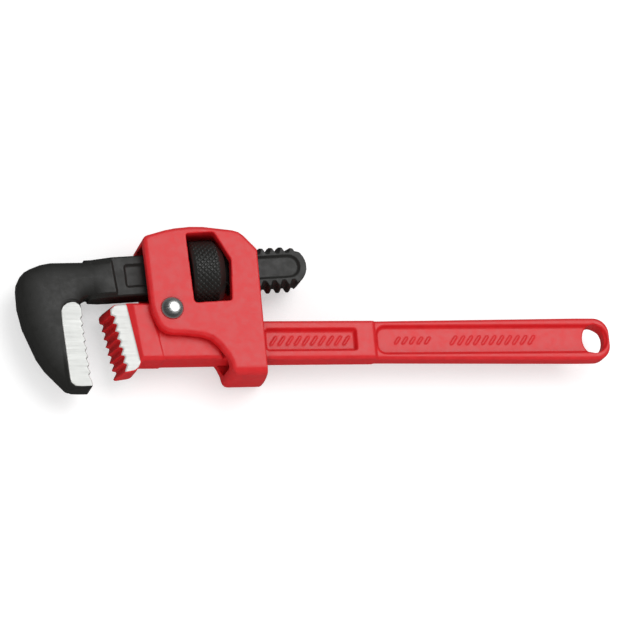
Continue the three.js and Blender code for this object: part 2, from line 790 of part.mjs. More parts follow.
function makeLeafRivet() {
  const floor = -LEAF_RIVET_DEPTH;
  const under = LEAF_THICKNESS + 2 * SEAT;
  const head = LEAF_RIVET_RADIUS * 1.7;
  return turned(
    [
      [floor, 0],
      [floor, LEAF_RIVET_RADIUS],
      [under, LEAF_RIVET_RADIUS],
      [under, head],
      [under + 0.5, head * 0.86],
      [under + 0.9, head * 0.45],
      [under + 1.0, 0],
    ],
    12,
  )
    .rotate([0, 0, 90])
    .translate([LEAF_FIXED, HEEL_TOP, 0]);
}

// Compression spring between the floor of the handle's pocket and the frame's lower wrap.
function makeCoil() {
  const bottom = SHAFT_AXIS - SHAFT_HEIGHT / 2;
  const top = bottom + COIL_POCKET_DEPTH - COIL_SEAT - COIL_WIRE;
  const foot = WRAP_FLOOR + FRAME_LEAN * (COIL_X + COIL_RADIUS + COIL_WIRE) + COIL_SEAT + COIL_WIRE;
  class Helix extends THREE.Curve {
    getPoint(t, target = new THREE.Vector3()) {
      const angle = 2 * Math.PI * COIL_TURNS * t;
      return target.set(
        COIL_X + COIL_RADIUS * Math.cos(angle),
        foot + (top - foot) * t,
        COIL_RADIUS * Math.sin(angle),
      );
    }
  }
  const wire = new THREE.Shape(circle(0, 0, COIL_WIRE, 6));
  return solid(
    new THREE.ExtrudeGeometry(wire, {
      steps: COIL_TURNS * 14,
      extrudePath: new Helix(),
      bevelEnabled: false,
      curveSegments: 1,
    }),
  );
}

// ---------------------------------------------------------------- assembly

const wrench = new THREE.Group();
wrench.name = "pipe_wrench";

const finishes = {
  red_paint: { color: 0xd2403c, roughness: 0.42, metalness: 0.05 },
  black_oxide: { color: 0x2d2e2c, roughness: 0.5, metalness: 0.55 },
  dark_knurl: { color: 0x262826, roughness: 0.45, metalness: 0.7 },
  bright_steel: { color: 0xb9bbb8, roughness: 0.22, metalness: 0.95 },
  spring_steel: { color: 0x5b6066, roughness: 0.35, metalness: 0.9 },
};

function place(name, body, finish) {
  const mesh = body.getMesh();
  const geometry = new THREE.BufferGeometry();
  const positions = new Float32Array((mesh.vertProperties.length / mesh.numProp) * 3);
  for (let i = 0; i < positions.length / 3; i += 1) {
    for (let k = 0; k < 3; k += 1) positions[3 * i + k] = mesh.vertProperties[mesh.numProp * i + k];
  }
  geometry.setAttribute("position", new THREE.BufferAttribute(positions, 3));
  geometry.setIndex(new THREE.BufferAttribute(new Uint32Array(mesh.triVerts), 1));
  geometry.computeVertexNormals();
  const node = new THREE.Mesh(geometry, new THREE.MeshStandardMaterial(finishes[finish]));
  node.name = name;
  wrench.add(node);
}

place("handle", makeHandle(), "red_paint");
place("frame", onFrame(makeFrame()), "red_paint");
place("hook_jaw", onFrame(makeHook()), "black_oxide");
place("adjusting_nut", onFrame(makeNut()), "dark_knurl");
place("pivot_rivet", onFrame(makeRivet()), "bright_steel");
place("flat_spring", makeLeaf(), "spring_steel");
place("flat_spring_rivet", makeLeafRivet(), "bright_steel");
place("coil_spring", makeCoil(), "spring_steel");

const bounds = new THREE.Box3().setFromObject(wrench);
const middle = bounds.getCenter(new THREE.Vector3());
wrench.children.forEach((node) => node.geometry.translate(-middle.x, -middle.y, -bounds.min.z));

export default wrench;
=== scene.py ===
"""Pipe wrench: detailed pieces, finishes and studio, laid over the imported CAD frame."""

import json
import math

import bpy
import numpy as np
from mathutils import Matrix, Vector
from mathutils.kdtree import KDTree


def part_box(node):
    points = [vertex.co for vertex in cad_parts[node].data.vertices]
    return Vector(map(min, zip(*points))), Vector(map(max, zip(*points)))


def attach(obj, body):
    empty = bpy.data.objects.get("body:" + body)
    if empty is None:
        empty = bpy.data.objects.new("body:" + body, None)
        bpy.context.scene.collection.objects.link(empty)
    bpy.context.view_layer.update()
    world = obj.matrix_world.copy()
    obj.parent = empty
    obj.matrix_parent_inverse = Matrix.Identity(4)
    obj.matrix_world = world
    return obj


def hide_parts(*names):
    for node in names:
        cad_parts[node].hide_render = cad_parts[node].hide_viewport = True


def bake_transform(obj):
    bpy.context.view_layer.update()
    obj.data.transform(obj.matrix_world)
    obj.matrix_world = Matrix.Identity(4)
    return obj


bl_info = {
    "name": "Pipe Wrench Builder",
    "version": (1, 0, 0),
    "blender": (4, 5, 0),
    "location": "View3D > Sidebar > Wrench",
    "description": "Builds a Stillson-pattern pipe wrench piece by piece on its CAD frame",
    "category": "Object",
}

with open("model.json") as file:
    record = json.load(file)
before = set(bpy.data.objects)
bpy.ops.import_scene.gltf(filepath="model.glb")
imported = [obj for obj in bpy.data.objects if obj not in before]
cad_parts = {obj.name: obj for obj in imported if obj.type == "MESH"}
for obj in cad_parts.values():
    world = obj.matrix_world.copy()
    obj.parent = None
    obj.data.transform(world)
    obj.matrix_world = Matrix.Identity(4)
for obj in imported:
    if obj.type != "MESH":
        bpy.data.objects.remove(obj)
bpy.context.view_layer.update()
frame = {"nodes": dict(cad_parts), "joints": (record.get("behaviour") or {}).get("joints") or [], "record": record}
JOINTS = {joint["name"]: joint for joint in frame["joints"]}

MM = 0.001
PIVOT = Vector(JOINTS["frame_pivot"]["pos_m"])
SHANK_DIRECTION = Vector(JOINTS["jaw_slide"]["axis"]).normalized()
NUT_CENTRE = Vector(JOINTS["nut_spin"]["pos_m"])
FRAME_LEAN = math.radians(0.63)
THREAD_PITCH = 2 * math.pi / abs(frame["record"]["behaviour"]["couplings"][0]["ratio"]) / MM


# ---------------------------------------------------------------- settings


class WrenchSizes(bpy.types.PropertyGroup):
    """Sizes of the modelled detail, all in millimetres unless a unit is named."""

    forging_voxel: bpy.props.FloatProperty(
        name="Forging mesh size",
        description="Edge length of the mesh on the handle and frame, in millimetres",
        default=0.42,
        min=0.25,
        max=1.0,
    )
    jaw_voxel: bpy.props.FloatProperty(
        name="Jaw mesh size",
        description="Edge length of the mesh on the hook jaw, in millimetres",
        default=0.36,
        min=0.25,
        max=1.0,
    )
    knurl_pitch: bpy.props.FloatProperty(
        name="Knurl pitch",
        description="Distance between knurl grooves round the nut, in millimetres",
        default=2.1,
        min=1.0,
        max=4.0,
    )
    knurl_depth: bpy.props.FloatProperty(
        name="Knurl depth",
        description="Depth of the knurl grooves, in millimetres",
        default=0.5,
        min=0.1,
        max=0.6,
    )
    mark_height: bpy.props.FloatProperty(
        name="Panel mark height",
        description="How far the raised marks stand above the panel floors, in millimetres",
        default=0.55,
        min=0.1,
        max=1.5,
    )


class WrenchFinishes(bpy.types.PropertyGroup):
    """Colours of the finishes."""

    enamel: bpy.props.FloatVectorProperty(
        name="Enamel",
        description="Colour of the enamel on the handle and frame",
        subtype="COLOR",
        default=(0.64, 0.009, 0.013),
        min=0.0,
        max=1.0,
    )
    oxide: bpy.props.FloatVectorProperty(
        name="Black oxide",
        description="Colour of the black oxide on the hook jaw and nut",
        subtype="COLOR",
        default=(0.014, 0.014, 0.0125),
        min=0.0,
        max=1.0,
    )
    bright: bpy.props.FloatVectorProperty(
        name="Ground steel",
        description="Colour of the ground bands on the jaws",
        subtype="COLOR",
        default=(0.62, 0.63, 0.61),
        min=0.0,
        max=1.0,
    )
    polished: bpy.props.FloatVectorProperty(
        name="Polished steel",
        description="Colour of the rivet heads",
        subtype="COLOR",
        default=(0.62, 0.63, 0.62),
        min=0.0,
        max=1.0,
    )
    spring: bpy.props.FloatVectorProperty(
        name="Spring steel",
        description="Colour of the two springs",
        subtype="COLOR",
        default=(0.2, 0.21, 0.23),
        min=0.0,
        max=1.0,
    )


class WrenchStudio(bpy.types.PropertyGroup):
    """Camera and light."""

    eye_distance: bpy.props.FloatProperty(
        name="Camera distance",
        description="From the camera to the middle of the wrench",
        default=1.415,
        unit="LENGTH",
    )
    lens: bpy.props.FloatProperty(
        name="Lens",
        description="Focal length on a 36 mm sensor, in millimetres",
        default=161.0,
    )
    roll: bpy.props.FloatProperty(
        name="Camera roll",
        description="How far the wrench's length rises to the right in the view",
        default=math.radians(0.2),
        subtype="ANGLE",
    )
    softbox_power: bpy.props.FloatProperty(
        name="Softbox",
        description="Power of the large overhead light",
        default=9.6,
        min=0.0,
        unit="POWER",
    )
    fill_power: bpy.props.FloatProperty(
        name="Fill light",
        description="Power of the light from the near side",
        default=5.5,
        min=0.0,
        unit="POWER",
    )
    ambient: bpy.props.FloatProperty(
        name="Ambient",
        description="Strength of the even light from all round",
        default=0.62,
        min=0.0,
    )


# ---------------------------------------------------------------- geometry helpers


def at(x, y, z=0.0):
    """A point given in millimetres from the pivot, in the row frame."""
    return PIVOT + Vector((x, y, z)) * MM


def local(coordinates):
    """Row-frame coordinates as millimetres from the pivot."""
    return (coordinates - np.array(PIVOT)) / MM


def leaned(points):
    """Outline points turned by the frame's lean on the handle."""
    c, s = math.cos(FRAME_LEAN), math.sin(FRAME_LEAN)
    return [(x * c - y * s, x * s + y * c) for x, y in points]


def link(name, mesh):
    piece = bpy.data.objects.new(name, mesh)
    bpy.context.scene.collection.objects.link(piece)
    return piece


def mesh_from(name, vertices, faces):
    mesh = bpy.data.meshes.new(name)
    mesh.from_pydata([tuple(v) for v in vertices], [], [tuple(f) for f in faces])
    mesh.validate()
    mesh.update()
    return mesh


def smooth(mesh, on=True):
    mesh.polygons.foreach_set("use_smooth", [on] * len(mesh.polygons))
    mesh.update()


def applied(piece):
    """The piece's mesh with its modifiers applied and removed."""
    graph = bpy.context.evaluated_depsgraph_get()
    graph.update()
    mesh = bpy.data.meshes.new_from_object(piece.evaluated_get(graph))
    old = piece.data
    piece.modifiers.clear()
    piece.data = mesh
    bpy.data.meshes.remove(old)
    mesh.name = piece.name
    return mesh


def forged_copy(node, name, voxel, extras=(), relax=3):
    """A node's shape with softened edges: welded, joined with extra closed meshes, and remeshed."""
    source = frame["nodes"][node].data
    vertices = [tuple(v.co) for v in source.vertices]
    faces = [tuple(p.vertices) for p in source.polygons]
    for more_vertices, more_faces in extras:
        base = len(vertices)
        vertices += [tuple(v) for v in more_vertices]
        faces += [tuple(base + i for i in face) for face in more_faces]
    piece = link(name, mesh_from(name, vertices, faces))
    weld = piece.modifiers.new("weld", "WELD")
    weld.merge_threshold = 1e-6
    remesh = piece.modifiers.new("remesh", "REMESH")
    remesh.mode = "VOXEL"
    remesh.voxel_size = voxel * MM
    relaxed = piece.modifiers.new("relax", "SMOOTH")
    relaxed.factor = 0.5
    relaxed.iterations = relax
    smooth(applied(piece))
    return piece


def coordinates(mesh):
    values = np.empty(len(mesh.vertices) * 3)
    mesh.vertices.foreach_get("co", values)
    return values.reshape(-1, 3)


def set_coordinates(mesh, values):
    mesh.vertices.foreach_set("co", np.asarray(values, float).ravel())
    mesh.update()


def depth_inside(points, outline):
    """Signed distance of 2D points from a closed outline, positive inside it."""
    outline = np.asarray(outline, float)
    nearest = np.full(len(points), 1e9)
    inside = np.zeros(len(points), bool)
    for a, b in zip(outline, np.roll(outline, -1, axis=0)):
        edge = b - a
        share = np.clip(((points - a) @ edge) / (edge @ edge), 0, 1)
        gap = points - (a + share[:, None] * edge)
        nearest = np.minimum(nearest, np.hypot(gap[:, 0], gap[:, 1]))
        crosses = (a[1] > points[:, 1]) != (b[1] > points[:, 1])
        rise = b[1] - a[1] if b[1] != a[1] else 1e-9
        inside ^= crosses & (points[:, 0] < a[0] + edge[0] * (points[:, 1] - a[1]) / rise)
    return np.where(inside, nearest, -nearest)


def write_ground(mesh, outline, level):
    """Stores how deep each point lies inside a ground band, in millimetres, for the finish to read."""
    points = local(coordinates(mesh))
    value = np.minimum(depth_inside(points[:, :2], outline), np.abs(points[:, 2]) - level)
    layer = mesh.attributes.new("ground", "FLOAT", "POINT")
    layer.data.foreach_set("value", value.astype(np.float32))


def lug(centre, size, z0, z1, lean=0.0, round_share=0.45, steps=4):
    """A raised mark: a rounded bar as (vertices, faces), closed, in the row frame."""
    half_x, half_y = size[0] / 2, size[1] / 2
    radius = min(half_x, half_y) * round_share * 2
    rim = []
    for qx, qy, first in ((1, 1, 0), (-1, 1, 1), (-1, -1, 2), (1, -1, 3)):
        for k in range(steps + 1):
            angle = (first + k / steps) * math.pi / 2
            rise = qy * (half_y - radius) + radius * math.sin(angle)
            across = qx * (half_x - radius) + radius * math.cos(angle)
            rim.append((centre[0] + across + lean * rise, centre[1] + rise))
    count = len(rim)
    low, high = min(z0, z1), max(z0, z1)
    vertices = [at(x, y, low) for x, y in rim] + [at(x, y, high) for x, y in rim]
    faces = [tuple(reversed(range(count))), tuple(range(count, 2 * count))]
    for i in range(count):
        j = (i + 1) % count
        faces.append((i, j, count + j, count + i))
    return vertices, faces


def turned(name, profile, segments, axis_matrix):
    """A turned body from (distance along the axis, radius) pairs that start and end at radius 0."""
    rings = profile[1:-1]
    vertices = [(profile[0][0], 0, 0), (profile[-1][0], 0, 0)]
    for x, radius in rings:
        for k in range(segments):
            angle = 2 * math.pi * k / segments
            vertices.append((x, radius * math.cos(angle), radius * math.sin(angle)))
    faces = []
    last = 2 + (len(rings) - 1) * segments
    for k in range(segments):
        n = (k + 1) % segments
        faces.append((0, 2 + n, 2 + k))
        faces.append((1, last + k, last + n))
        for r in range(len(rings) - 1):
            a = 2 + r * segments
            b = a + segments
            faces.append((a + k, a + n, b + n, b + k))
    mesh = mesh_from(name, [axis_matrix @ (Vector(v) * MM) for v in vertices], faces)
    return link(name, mesh)


def basis(x_axis, origin):
    """A matrix that lays local X along x_axis, with local Y kept in the wrench's plane."""
    x = x_axis.normalized()
    z = Vector((0, 0, 1)) if abs(x.z) < 0.9 else Vector((0, 1, 0))
    y = z.cross(x).normalized()
    z = x.cross(y)
    matrix = Matrix((x, y, z)).transposed().to_4x4()
    matrix.translation = origin
    return matrix


# ---------------------------------------------------------------- shader groups


def new_group(name, inputs, outputs):
    """An empty shader group with float or colour sockets."""
    group = bpy.data.node_groups.new(name, "ShaderNodeTree")
    for socket, kind, default in inputs:
        made = group.interface.new_socket(socket, in_out="INPUT", socket_type=kind)
        made.default_value = default
    for socket, kind in outputs:
        group.interface.new_socket(socket, in_out="OUTPUT", socket_type=kind)
    enter = group.nodes.new("NodeGroupInput")
    leave = group.nodes.new("NodeGroupOutput")
    return group, enter, leave


def noise(tree, vector, scale, detail=3.0, roughness=0.55):
    node = tree.nodes.new("ShaderNodeTexNoise")
    node.inputs["Scale"].default_value = scale
    node.inputs["Detail"].default_value = detail
    node.inputs["Roughness"].default_value = roughness
    tree.links.new(vector, node.inputs["Vector"])
    return node.outputs["Fac"]


def math_node(tree, operation, a, b=None, clamp=False):
    node = tree.nodes.new("ShaderNodeMath")
    node.operation = operation
    node.use_clamp = clamp
    for socket, value in zip(node.inputs, (a, b)):
        if value is None:
            continue
        if isinstance(value, (int, float)):
            socket.default_value = value
        else:
            tree.links.new(value, socket)
    return node.outputs[0]


def ramp(tree, value, low, high, to_low=0.0, to_high=1.0):
    node = tree.nodes.new("ShaderNodeMapRange")
    node.interpolation_type = "SMOOTHSTEP"
    for socket, number in (
        ("From Min", low),
        ("From Max", high),
        ("To Min", to_low),
        ("To Max", to_high),
    ):
        if isinstance(number, (int, float)):
            node.inputs[socket].default_value = number
        else:
            tree.links.new(number, node.inputs[socket])
    tree.links.new(value, node.inputs["Value"])
    return node.outputs["Result"]


def mix_colour(tree, share, a, b):
    node = tree.nodes.new("ShaderNodeMix")
    node.data_type = "RGBA"
    for socket, value in ((node.inputs[0], share), (node.inputs[6], a), (node.inputs[7], b)):
        if isinstance(value, bpy.types.NodeSocket):
            tree.links.new(value, socket)
        else:
            socket.default_value = value
    return node.outputs[2]


def mix_value(tree, share, a, b):
    node = tree.nodes.new("ShaderNodeMix")
    node.data_type = "FLOAT"
    for socket, value in ((node.inputs[0], share), (node.inputs[2], a), (node.inputs[3], b)):
        if isinstance(value, bpy.types.NodeSocket):
            tree.links.new(value, socket)
        else:
            socket.default_value = value
    return node.outputs[0]


def object_coordinates(tree):
    return tree.nodes.new("ShaderNodeTexCoord").outputs["Object"]


def cast_surface_group():
    """Height and tone of a forged skin: broad hammer waves, fine scale and small pits."""
    group, enter, leave = new_group(
        "Forged skin",
        [
            ("Wave", "NodeSocketFloat", 1.0),
            ("Grain", "NodeSocketFloat", 1.0),
            ("Pits", "NodeSocketFloat", 0.3),
        ],
        [("Height", "NodeSocketFloat"), ("Tone", "NodeSocketFloat")],
    )
    where = object_coordinates(group)
    waves = noise(group, where, 110.0, 2.0)
    grain = noise(group, where, 1900.0, 3.0, 0.65)
    patches = noise(group, where, 260.0, 4.0, 0.6)
    pits = ramp(group, noise(group, where, 620.0, 1.0), 0.30, 0.38, 1.0, 0.0)
    height = math_node(group, "MULTIPLY", waves, enter.outputs["Wave"])
    fine = math_node(group, "MULTIPLY", grain, enter.outputs["Grain"])
    hollow = math_node(group, "MULTIPLY", pits, enter.outputs["Pits"])
    total = math_node(group, "SUBTRACT", math_node(group, "ADD", height, fine), hollow)
    group.links.new(total, leave.inputs["Height"])
    group.links.new(patches, leave.inputs["Tone"])
    return group


def edge_wear_and_highlight_group():
    """Where a finish has rubbed through: convex edges, broken up by noise. Also the whole convex rim, used for a
    painted edge highlight.
    """
    group, enter, leave = new_group(
        "Edge wear and highlight",
        [("Amount", "NodeSocketFloat", 0.5)],
        [("Worn", "NodeSocketFloat"), ("Painted edge highlight", "NodeSocketFloat")],
    )
    where = object_coordinates(group)
    geometry = group.nodes.new("ShaderNodeNewGeometry")
    rim = ramp(group, geometry.outputs["Pointiness"], 0.53, 0.62)
    breakup = noise(group, where, 850.0, 4.0, 0.7)
    cut = math_node(group, "SUBTRACT", 1.0, enter.outputs["Amount"])
    worn = math_node(group, "MULTIPLY", rim, breakup)
    worn = ramp(group, worn, math_node(group, "MULTIPLY", cut, 0.6), cut)
    group.links.new(worn, leave.inputs["Worn"])
    # The unbroken convex rim goes out on its own; the finish lightens the coat there as a painted edge highlight.
    group.links.new(rim, leave.inputs["Painted edge highlight"])
    return group


def brushed_group():
    """Fine parallel grinding lines across the band, with a little haze."""
    group, enter, leave = new_group(
        "Grinding lines",
        [("Angle", "NodeSocketFloat", 0.0)],
        [("Height", "NodeSocketFloat"), ("Tone", "NodeSocketFloat")],
    )
    where = object_coordinates(group)
    mapping = group.nodes.new("ShaderNodeMapping")
    turn = group.nodes.new("ShaderNodeCombineXYZ")
    group.links.new(enter.outputs["Angle"], turn.inputs["Z"])
    group.links.new(turn.outputs[0], mapping.inputs["Rotation"])
    mapping.inputs["Scale"].default_value = (60.0, 2600.0, 60.0)
    group.links.new(where, mapping.inputs["Vector"])
    lines = noise(group, mapping.outputs[0], 1.0, 3.0, 0.6)
    haze = noise(group, where, 180.0, 3.0)
    group.links.new(lines, leave.inputs["Height"])
    group.links.new(haze, leave.inputs["Tone"])
    return group


GROUPS = {}


def group(name):
    """The shader group of that name, built once."""
    makers = {"skin": cast_surface_group, "wear": edge_wear_and_highlight_group, "lines": brushed_group}
    if name not in GROUPS:
        GROUPS[name] = makers[name]()
    return GROUPS[name]


def place_group(tree, name, **values):
    node = tree.nodes.new("ShaderNodeGroup")
    node.node_tree = group(name)
    for socket, value in values.items():
        node.inputs[socket].default_value = value
    return node


def start_material(name):
    material = bpy.data.materials.new(name)
    material.use_nodes = True
    tree = material.node_tree
    return material, tree, tree.nodes["Principled BSDF"]


def bump(tree, shader, height, distance, strength=1.0):
    node = tree.nodes.new("ShaderNodeBump")
    node.inputs["Distance"].default_value = distance
    node.inputs["Strength"].default_value = strength
    tree.links.new(height, node.inputs["Height"])
    tree.links.new(node.outputs["Normal"], shader.inputs["Normal"])


def ground_mask(tree):
    """1 on a ground band, 0 elsewhere, with an edge a tenth of a millimetre wide."""
    stored = tree.nodes.new("ShaderNodeAttribute")
    stored.attribute_name = "ground"
    return ramp(tree, stored.outputs["Fac"], -0.05, 0.06)


def rgb(colour, factor=1.0):
    return tuple(min(1.0, channel * factor) for channel in colour) + (1.0,)


def forged_material(name, coat, bright, skin, gloss, wear, metal, ground, coat_weight):
    """A forging with a coating and, where its jaw is ground, bare bright steel."""
    material, tree, shader = start_material(name)
    surface = place_group(tree, "skin", **skin)
    worn = place_group(tree, "wear", Amount=wear)
    tone = surface.outputs["Tone"]
    coating = mix_colour(tree, tone, rgb(coat, 0.84), rgb(coat, 1.16))
    # Painted highlight: the coat is 1.3 times lighter on every convex edge, standing in for light catching the
    # rims.
    coating = mix_colour(tree, worn.outputs["Painted edge highlight"], coating, rgb(coat, 1.3))
    colour = mix_colour(tree, worn.outputs["Worn"], coating, rgb(metal))
    roughness = ramp(tree, tone, 0.25, 0.75, gloss[0], gloss[1])
    metallic = math_node(tree, "MULTIPLY", worn.outputs["Worn"], 0.8)
    if ground is None:
        tree.links.new(colour, shader.inputs["Base Color"])
        tree.links.new(roughness, shader.inputs["Roughness"])
        tree.links.new(metallic, shader.inputs["Metallic"])
        bump(tree, shader, surface.outputs["Height"], 0.00004)
    else:
        mask = ground_mask(tree)
        lines = place_group(tree, "lines", Angle=ground)
        steel = mix_colour(tree, lines.outputs["Tone"], rgb(bright, 0.9), rgb(bright, 1.08))
        tree.links.new(mix_colour(tree, mask, colour, steel), shader.inputs["Base Color"])
        rough_steel = ramp(tree, lines.outputs["Height"], 0.3, 0.7, 0.34, 0.5)
        tree.links.new(mix_value(tree, mask, roughness, rough_steel), shader.inputs["Roughness"])
        tree.links.new(mix_value(tree, mask, metallic, 0.35), shader.inputs["Metallic"])
        height = mix_value(
            tree,
            mask,
            surface.outputs["Height"],
            math_node(tree, "MULTIPLY", lines.outputs["Height"], 0.35),
        )
        bump(tree, shader, height, 0.00004)
    shader.inputs["Coat Weight"].default_value = coat_weight
    shader.inputs["Coat Roughness"].default_value = 0.22
    return material


def steel_material(name, colour, roughness, line_angle, metallic=1.0, distance=0.000006):
    """Bare steel with fine working marks."""
    material, tree, shader = start_material(name)
    lines = place_group(tree, "lines", Angle=line_angle)
    tint = mix_colour(tree, lines.outputs["Tone"], rgb(colour, 0.85), rgb(colour, 1.12))
    tree.links.new(tint, shader.inputs["Base Color"])
    tree.links.new(
        ramp(tree, lines.outputs["Height"], 0.3, 0.7, roughness[0], roughness[1]),
        shader.inputs["Roughness"],
    )
    shader.inputs["Metallic"].default_value = metallic
    bump(tree, shader, lines.outputs["Height"], distance)
    return material


def finish_with(piece, material, body, node):
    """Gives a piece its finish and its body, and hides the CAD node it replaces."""
    piece.data.materials.clear()
    piece.data.materials.append(material)
    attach(piece, body)
    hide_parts(node)


# ---------------------------------------------------------------- pieces

SHAFT_AXIS = -14.1
SHAFT_PANEL_FLOOR = 3.8
GRIP_PANEL_FLOOR = 2.8
HEEL_BAND = [
    (-36.0, 2.2),
    (-28.9, 2.2),
    (-27.2, 3.7),
    (-21.9, 4.4),
    (-21.3, 3.0),
    (-16.3, -25.6),
    (-17.4, -28.2),
    (-19.6, -29.7),
    (-24.2, -30.6),
    (-36.0, -31.6),
]
HEEL_BAND_LEVEL = 7.2
HOOK_BAND_LEVEL = 6.5

MARK_LEAN = 0.75
SHAFT_MARKS = [(53.0, 92.0, 4.2, 0.95, 4.6)]
GRIP_MARKS = [
    (118.0, 134.0, 4.0, 0.95, 3.2),
    (148.0, 190.0, 4.2, 0.95, 4.2),
]


def panel_marks(height):
    """Rows of plain slanting bars on the panel floors of both sides."""
    marks = []
    for floor, rows in ((SHAFT_PANEL_FLOOR, SHAFT_MARKS), (GRIP_PANEL_FLOOR, GRIP_MARKS)):
        for start, end, pitch, width, tall in rows:
            for k in range(int((end - start) / pitch) + 1):
                centre = (start + k * pitch, SHAFT_AXIS)
                for side in (1, -1):
                    foot, top = side * (floor - 0.8), side * (floor + height)
                    marks.append(lug(centre, (width, tall), foot, top, MARK_LEAN))
    return marks


class WRENCH_OT_handle(bpy.types.Operator):
    """Forged handle with its heel jaw, sunk panels and hanging eye"""

    bl_idname = "wrench.handle"
    bl_label = "Handle"

    def execute(self, context):
        sizes = context.scene.wrench_sizes
        finishes = context.scene.wrench_finishes
        piece = forged_copy(
            "handle", "handle_forging", sizes.forging_voxel, panel_marks(sizes.mark_height)
        )
        write_ground(piece.data, HEEL_BAND, HEEL_BAND_LEVEL)
        material = forged_material(
            "handle_enamel",
            finishes.enamel,
            finishes.bright,
            {"Wave": 1.4, "Grain": 0.10, "Pits": 0.0},
            (0.34, 0.5),
            0.22,
            (0.35, 0.3, 0.29),
            math.radians(-80),
            0.12,
        )
        finish_with(piece, material, "handle_body", "handle")
        return {"FINISHED"}


class WRENCH_OT_frame(bpy.types.Operator):
    """Frame: two side plates joined over the shank and under the handle"""

    bl_idname = "wrench.frame"
    bl_label = "Frame"

    def execute(self, context):
        sizes = context.scene.wrench_sizes
        finishes = context.scene.wrench_finishes
        piece = forged_copy("frame", "frame_housing", sizes.forging_voxel)
        material = forged_material(
            "frame_enamel",
            finishes.enamel,
            finishes.bright,
            {"Wave": 2.0, "Grain": 0.12, "Pits": 0.0},
            (0.36, 0.52),
            0.2,
            (0.35, 0.3, 0.29),
            None,
            0.12,
        )
        finish_with(piece, material, "frame_body", "frame")
        return {"FINISHED"}


HOOK_BAND = [
    (-48.6, 6.2),
    (-50.9, 5.6),
    (-52.9, 4.0),
    (-54.0, 1.8),
    (-54.1, -1.0),
    (-53.9, -6.0),
    (-52.1, -32.5),
    (-51.4, -35.0),
    (-49.6, -36.6),
    (-46.5, -36.9),
    (-36.0, -36.6),
    (-36.0, 2.0),
    (-43.6, 2.2),
    (-44.9, 4.8),
    (-46.6, 6.0),
]


HEAD_CENTRE = np.array([-45.0, 2.0])
HEAD_END = -27.0
HEAD_OUTSIDE = (50.0, 262.0)
CROWN_WIDTH = 15.0
CROWN_DROP = 4.2


def head_walls(mesh):
    """Points along the outer walls of the hook head, seen from the side."""
    points = local(coordinates(mesh))
    walls = []
    for face in mesh.polygons:
        corners = points[list(face.vertices)]
        if abs(face.normal.z) > 0.2 or corners[:, 2].min() > 0 or corners[:, 2].max() < 0:
            continue
        offset = corners[:, :2].mean(axis=0) - HEAD_CENTRE
        angle = math.degrees(math.atan2(offset[1], offset[0])) % 360
        if HEAD_OUTSIDE[0] < angle < HEAD_OUTSIDE[1]:
            for start, end in zip(corners, np.roll(corners, -1, axis=0)):
                count = max(2, int(np.hypot(*(end - start)[:2]) / 0.5) + 1)
                walls.append(np.linspace(start[:2], end[:2], count))
    return np.concatenate(walls)


def rim_depth(points, walls):
    """How far points lie inside the hook head's outer walls."""
    tree = KDTree(len(walls))
    for index, (x, y) in enumerate(walls):
        tree.insert((x, y, 0.0), index)
    tree.balance()
    near = points[:, 0] < HEAD_END + 1
    depth = np.full(len(points), CROWN_WIDTH)
    depth[near] = [tree.find((x, y, 0.0))[2] for x, y in points[near, :2]]
    return depth


class WRENCH_OT_hook_jaw(bpy.types.Operator):
    """Forged hook jaw with its threaded shank and ground band"""

    bl_idname = "wrench.hook_jaw"
    bl_label = "Hook jaw"

    def execute(self, context):
        sizes = context.scene.wrench_sizes
        finishes = context.scene.wrench_finishes
        piece = forged_copy("hook_jaw", "hook_jaw_forging", sizes.jaw_voxel, relax=2)
        mesh = piece.data
        band = leaned(HOOK_BAND)
        points = local(coordinates(mesh))
        rim = rim_depth(points, head_walls(frame["nodes"]["hook_jaw"].data))
        head = np.clip((HEAD_END - points[:, 0]) / 10.0, 0, 1)
        off_band = np.clip(-depth_inside(points[:, :2], band) / 2.0, 0, 1)
        sides = np.clip((np.abs(points[:, 2]) - 1.0) / 6.0, 0, 1)
        share = np.clip(1 - rim / CROWN_WIDTH, 0, 1)
        crown = CROWN_DROP * (1 - np.sqrt(1 - share**2)) * head * off_band * sides
        points[:, 2] -= np.sign(points[:, 2]) * crown
        set_coordinates(mesh, points * MM + np.array(PIVOT))
        write_ground(mesh, band, HOOK_BAND_LEVEL)
        material = forged_material(
            "jaw_oxide",
            finishes.oxide,
            finishes.bright,
            {"Wave": 1.6, "Grain": 0.25, "Pits": 0.2},
            (0.42, 0.56),
            0.25,
            (0.12, 0.12, 0.115),
            math.radians(-86),
            0.0,
        )
        finish_with(piece, material, "jaw_body", "hook_jaw")
        return {"FINISHED"}


NUT_RADIUS = 17.2
NUT_LENGTH = 16.8
NUT_NEAR_CHAMFER = 1.4
NUT_FAR_CHAMFER = 4.0
NUT_THREAD_ROOT = 11.95
NUT_THREAD_CREST = 9.75
NUT_THREAD_PHASE = -0.28


def nut_outside(x, angle, pitch, depth):
    """Radius of the knurled barrel at a place along and round it; x runs from the near end."""
    rise = np.minimum(x / NUT_NEAR_CHAMFER, 1.0)
    fall = np.minimum((NUT_LENGTH - x) / NUT_FAR_CHAMFER, 1.0)
    radius = NUT_RADIUS - NUT_NEAR_CHAMFER * (1 - rise) - NUT_FAR_CHAMFER * (1 - fall)
    starts = round(2 * math.pi * NUT_RADIUS / (pitch * math.sqrt(2)))
    phase = angle * starts / (2 * math.pi)
    lead = x / (pitch * math.sqrt(2))
    groove = np.minimum(np.abs((phase + lead) % 1 - 0.5), np.abs((phase - lead) % 1 - 0.5))
    cut = depth * np.clip(1 - groove / 0.22, 0, 1)
    on_barrel = np.clip((x - 0.6) / 0.8, 0, 1) * np.clip((NUT_LENGTH - 3.2 - x) / 0.8, 0, 1)
    return radius - cut * on_barrel


